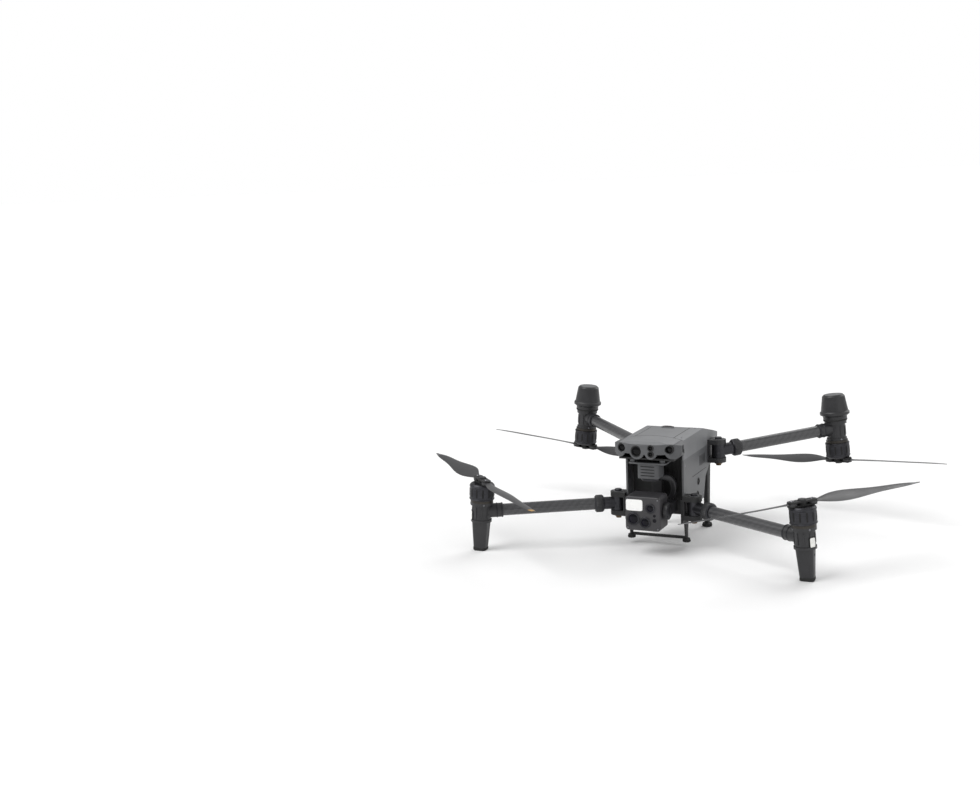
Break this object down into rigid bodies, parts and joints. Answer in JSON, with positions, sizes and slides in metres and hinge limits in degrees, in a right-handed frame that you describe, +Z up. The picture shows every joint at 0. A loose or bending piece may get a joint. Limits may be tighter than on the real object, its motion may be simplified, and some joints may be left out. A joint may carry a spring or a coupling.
{
  "type": "folding quadcopter drone",
  "caption": "Folding four-rotor camera drone with hinged arms, folding propeller blades, a three-axis camera gimbal and slide-in batteries.",
  "frame": {"origin": "on the ground under the middle of the unfolded drone", "axes": "+X the drone's left, -Y its nose, +Z up"},
  "size_m": [0.8743, 0.6028, 0.2186],
  "materials": {
    "cover_plastic": "moulded, light grey, fine spark texture",
    "panel_plastic": "moulded, mid grey",
    "frame_plastic": "moulded, black, matt",
    "knuckle_aluminium": "black anodised",
    "carbon_tube": "woven carbon tube under a satin lacquer",
    "tower_plastic": "moulded, near black, satin",
    "stator_steel": "laminated steel core with dark coating",
    "bell_aluminium": "black anodised, turned",
    "hub_plastic": "glass-filled nylon",
    "blade_nylon": "carbon-filled nylon, satin",
    "button_metal": "dark anodised",
    "pin_bronze": "bronze, turned",
    "board": "solder-masked laminate",
    "lens_glass": "coated glass over black",
    "battery_plastic": "moulded, dark grey",
    "key_plastic": "moulded key",
    "gimbal_aluminium": "dark anodised",
    "camera_shell": "painted magnesium look, matt dark grey"
  },
  "bodies": {
    "airframe": {"top_cover": "cover_plastic", "nose_housing": "cover_plastic", "side_panels": "panel_plastic", "chassis": "frame_plastic", "belly_frame": "frame_plastic", "rear_hinge_brackets": "panel_plastic", "landing_skids": "frame_plastic", "hinge_pins": "pin_bronze", "circuit_board": "board", "gimbal_mount": "frame_plastic", "vision_sensors": "lens_glass"},
    "front_left_arm": {"front_left_arm_knuckle": "knuckle_aluminium", "front_left_arm_tube": "carbon_tube", "front_left_motor_mount": "tower_plastic", "front_left_motor_stator": "stator_steel", "front_left_landing_leg": "tower_plastic"},
    "front_left_rotor": {"front_left_rotor_bell": "bell_aluminium"},
    "front_left_propeller": {"front_left_propeller_hub": "hub_plastic"},
    "front_left_blade_a": {"front_left_blade_a": "blade_nylon"},
    "front_left_blade_b": {"front_left_blade_b": "blade_nylon"},
    "front_left_lock": {"front_left_lock_button": "button_metal"},
    "front_right_arm": {"front_right_arm_knuckle": "knuckle_aluminium", "front_right_arm_tube": "carbon_tube", "front_right_motor_mount": "tower_plastic", "front_right_motor_stator": "stator_steel", "front_right_landing_leg": "tower_plastic"},
    "front_right_rotor": {"front_right_rotor_bell": "bell_aluminium"},
    "front_right_propeller": {"front_right_propeller_hub": "hub_plastic"},
    "front_right_blade_a": {"front_right_blade_a": "blade_nylon"},
    "front_right_blade_b": {"front_right_blade_b": "blade_nylon"},
    "front_right_lock": {"front_right_lock_button": "button_metal"},
    "rear_left_arm": {"rear_left_arm_knuckle": "knuckle_aluminium", "rear_left_arm_tube": "carbon_tube", "rear_left_motor_mount": "tower_plastic", "rear_left_motor_stator": "stator_steel", "rear_left_antenna_tower": "tower_plastic"},
    "rear_left_rotor": {"rear_left_rotor_bell": "bell_aluminium"},
    "rear_left_propeller": {"rear_left_propeller_hub": "hub_plastic"},
    "rear_left_blade_a": {"rear_left_blade_a": "blade_nylon"},
    "rear_left_blade_b": {"rear_left_blade_b": "blade_nylon"},
    "rear_left_lock": {"rear_left_lock_button": "button_metal"},
    "rear_right_arm": {"rear_right_arm_knuckle": "knuckle_aluminium", "rear_right_arm_tube": "carbon_tube", "rear_right_motor_mount": "tower_plastic", "rear_right_motor_stator": "stator_steel", "rear_right_antenna_tower": "tower_plastic"},
    "rear_right_rotor": {"rear_right_rotor_bell": "bell_aluminium"},
    "rear_right_propeller": {"rear_right_propeller_hub": "hub_plastic"},
    "rear_right_blade_a": {"rear_right_blade_a": "blade_nylon"},
    "rear_right_blade_b": {"rear_right_blade_b": "blade_nylon"},
    "rear_right_lock": {"rear_right_lock_button": "button_metal"},
    "left_battery_pack": {"left_battery": "battery_plastic"},
    "left_battery_key": {"left_battery_release": "key_plastic"},
    "right_battery_pack": {"right_battery": "battery_plastic"},
    "right_battery_key": {"right_battery_release": "key_plastic"},
    "power_key": {"power_button": "key_plastic"},
    "gimbal_yaw": {"gimbal_yaw_arm": "gimbal_aluminium"},
    "gimbal_roll": {"gimbal_roll_arm": "gimbal_aluminium"},
    "camera": {"camera_housing": "camera_shell", "camera_lenses": "lens_glass"}
  },
  "joints": [
    {"name": "front_left_arm_fold", "type": "hinge", "parent": "airframe", "child": "front_left_arm", "pos_m": [0.066, -0.062, 0.071], "axis": [0, 0, 1], "range_deg": [0, 112]},
    {"name": "front_left_rotor_spin", "type": "hinge", "parent": "front_left_arm", "child": "front_left_rotor", "pos_m": [0.26736, -0.1686, 0.115], "axis": [-0.0698, 0, 0.9976], "continuous": true},
    {"name": "front_left_propeller_turn", "type": "hinge", "parent": "front_left_rotor", "child": "front_left_propeller", "pos_m": [0.26736, -0.1686, 0.115], "axis": [-0.0698, 0, 0.9976], "range_deg": [-109.01, 0]},
    {"name": "front_left_blade_a_fold", "type": "hinge", "parent": "front_left_propeller", "child": "front_left_blade_a", "pos_m": [0.27975, -0.15699, 0.11587], "axis": [-0.0698, 0, 0.9976], "range_deg": [-70.01, 0]},
    {"name": "front_left_blade_b_fold", "type": "hinge", "parent": "front_left_propeller", "child": "front_left_blade_b", "pos_m": [0.25497, -0.18021, 0.11413], "axis": [-0.0698, 0, 0.9976], "range_deg": [0, 70.01]},
    {"name": "front_left_lock_press", "type": "slide", "parent": "airframe", "child": "front_left_lock", "axis": [0, 0, -1], "range_m": [0, 0.002], "stiffness_N_per_m": 300, "springref_m": -0.001},
    {"name": "front_right_arm_fold", "type": "hinge", "parent": "airframe", "child": "front_right_arm", "pos_m": [-0.066, -0.062, 0.071], "axis": [0, 0, 1], "range_deg": [-112, 0]},
    {"name": "front_right_rotor_spin", "type": "hinge", "parent": "front_right_arm", "child": "front_right_rotor", "pos_m": [-0.26736, -0.1686, 0.115], "axis": [-0.0698, 0, -0.9976], "continuous": true},
    {"name": "front_right_propeller_turn", "type": "hinge", "parent": "front_right_rotor", "child": "front_right_propeller", "pos_m": [-0.26736, -0.1686, 0.115], "axis": [0.0698, 0, 0.9976], "range_deg": [0, 93.01]},
    {"name": "front_right_blade_a_fold", "type": "hinge", "parent": "front_right_propeller", "child": "front_right_blade_a", "pos_m": [-0.28014, -0.15743, 0.11589], "axis": [0.0698, 0, 0.9976], "range_deg": [0, 70.01]},
    {"name": "front_right_blade_b_fold", "type": "hinge", "parent": "front_right_propeller", "child": "front_right_blade_b", "pos_m": [-0.25457, -0.17977, 0.11411], "axis": [0.0698, 0, 0.9976], "range_deg": [-70.01, 0]},
    {"name": "front_right_lock_press", "type": "slide", "parent": "airframe", "child": "front_right_lock", "axis": [0, 0, -1], "range_m": [0, 0.002], "stiffness_N_per_m": 300, "springref_m": -0.001},
    {"name": "rear_left_arm_fold", "type": "hinge", "parent": "airframe", "child": "rear_left_arm", "pos_m": [0.066, 0.081, 0.138], "axis": [0, 0, 1], "range_deg": [-122, 0]},
    {"name": "rear_left_rotor_spin", "type": "hinge", "parent": "rear_left_arm", "child": "rear_left_rotor", "pos_m": [0.24007, 0.23, 0.11], "axis": [0.0854, 0, -0.9963], "continuous": true},
    {"name": "rear_left_propeller_turn", "type": "hinge", "parent": "rear_left_rotor", "child": "rear_left_propeller", "pos_m": [0.24007, 0.23, 0.11], "axis": [-0.0854, 0, 0.9963], "range_deg": [0, 88.01]},
    {"name": "rear_left_blade_a_fold", "type": "hinge", "parent": "rear_left_propeller", "child": "rear_left_blade_a", "pos_m": [0.25617, 0.22473, 0.11138], "axis": [-0.0854, 0, 0.9963], "range_deg": [0, 70.01]},
    {"name": "rear_left_blade_b_fold", "type": "hinge", "parent": "rear_left_propeller", "child": "rear_left_blade_b", "pos_m": [0.22397, 0.23527, 0.10862], "axis": [-0.0854, 0, 0.9963], "range_deg": [-70.01, 0]},
    {"name": "rear_left_lock_press", "type": "slide", "parent": "airframe", "child": "rear_left_lock", "axis": [0, 0, -1], "range_m": [0, 0.002], "stiffness_N_per_m": 300, "springref_m": -0.001},
    {"name": "rear_right_arm_fold", "type": "hinge", "parent": "airframe", "child": "rear_right_arm", "pos_m": [-0.066, 0.081, 0.138], "axis": [0, 0, 1], "range_deg": [0, 122]},
    {"name": "rear_right_rotor_spin", "type": "hinge", "parent": "rear_right_arm", "child": "rear_right_rotor", "pos_m": [-0.24007, 0.23, 0.11], "axis": [0.0854, 0, 0.9963], "continuous": true},
    {"name": "rear_right_propeller_turn", "type": "hinge", "parent": "rear_right_rotor", "child": "rear_right_propeller", "pos_m": [-0.24007, 0.23, 0.11], "axis": [0.0854, 0, 0.9963], "range_deg": [-62.01, 0]},
    {"name": "rear_right_blade_a_fold", "type": "hinge", "parent": "rear_right_propeller", "child": "rear_right_blade_a", "pos_m": [-0.25684, 0.23237, 0.11144], "axis": [0.0854, 0, 0.9963], "range_deg": [-70.01, 0]},
    {"name": "rear_right_blade_b_fold", "type": "hinge", "parent": "rear_right_propeller", "child": "rear_right_blade_b", "pos_m": [-0.2233, 0.22763, 0.10856], "axis": [0.0854, 0, 0.9963], "range_deg": [0, 70.01]},
    {"name": "rear_right_lock_press", "type": "slide", "parent": "airframe", "child": "rear_right_lock", "axis": [0, 0, -1], "range_m": [0, 0.002], "stiffness_N_per_m": 300, "springref_m": -0.001},
    {"name": "left_battery_slide", "type": "slide", "parent": "airframe", "child": "left_battery_pack", "axis": [0, -1, 0], "range_m": [-0.155, 0]},
    {"name": "left_battery_release_press", "type": "slide", "parent": "left_battery_pack", "child": "left_battery_key", "axis": [0, -1, 0], "range_m": [0, 0.0028], "stiffness_N_per_m": 300, "springref_m": -0.001},
    {"name": "right_battery_slide", "type": "slide", "parent": "airframe", "child": "right_battery_pack", "axis": [0, -1, 0], "range_m": [-0.155, 0]},
    {"name": "right_battery_release_press", "type": "slide", "parent": "right_battery_pack", "child": "right_battery_key", "axis": [0, -1, 0], "range_m": [0, 0.0028], "stiffness_N_per_m": 300, "springref_m": -0.001},
    {"name": "power_press", "type": "slide", "parent": "airframe", "child": "power_key", "axis": [0, 0, -1], "range_m": [0, 0.0015], "stiffness_N_per_m": 300, "springref_m": -0.001},
    {"name": "gimbal_pan", "type": "hinge", "parent": "airframe", "child": "gimbal_yaw", "pos_m": [0, -0.084, 0.121], "axis": [0, 0, 1], "range_deg": [-30, 30]},
    {"name": "gimbal_roll_joint", "type": "hinge", "parent": "gimbal_yaw", "child": "gimbal_roll", "pos_m": [0, -0.062, 0.074], "axis": [0, 1, 0], "range_deg": [-10, 10]},
    {"name": "camera_tilt", "type": "hinge", "parent": "gimbal_roll", "child": "camera", "pos_m": [0.028, -0.106, 0.074], "axis": [1, 0, 0], "range_deg": [-30, 90]}
  ],
  "couplings": [
    {"joint": "front_left_propeller_turn", "follows": "front_left_arm_fold", "ratio": -0.97321},
    {"joint": "front_left_blade_a_fold", "follows": "front_left_arm_fold", "ratio": -0.625},
    {"joint": "front_left_blade_b_fold", "follows": "front_left_arm_fold", "ratio": 0.625},
    {"joint": "front_right_propeller_turn", "follows": "front_right_arm_fold", "ratio": -0.83036},
    {"joint": "front_right_blade_a_fold", "follows": "front_right_arm_fold", "ratio": -0.625},
    {"joint": "front_right_blade_b_fold", "follows": "front_right_arm_fold", "ratio": 0.625},
    {"joint": "rear_left_propeller_turn", "follows": "rear_left_arm_fold", "ratio": -0.72131},
    {"joint": "rear_left_blade_a_fold", "follows": "rear_left_arm_fold", "ratio": -0.57377},
    {"joint": "rear_left_blade_b_fold", "follows": "rear_left_arm_fold", "ratio": 0.57377},
    {"joint": "rear_right_propeller_turn", "follows": "rear_right_arm_fold", "ratio": -0.5082},
    {"joint": "rear_right_blade_a_fold", "follows": "rear_right_arm_fold", "ratio": -0.57377},
    {"joint": "rear_right_blade_b_fold", "follows": "rear_right_arm_fold", "ratio": 0.57377}
  ]
}
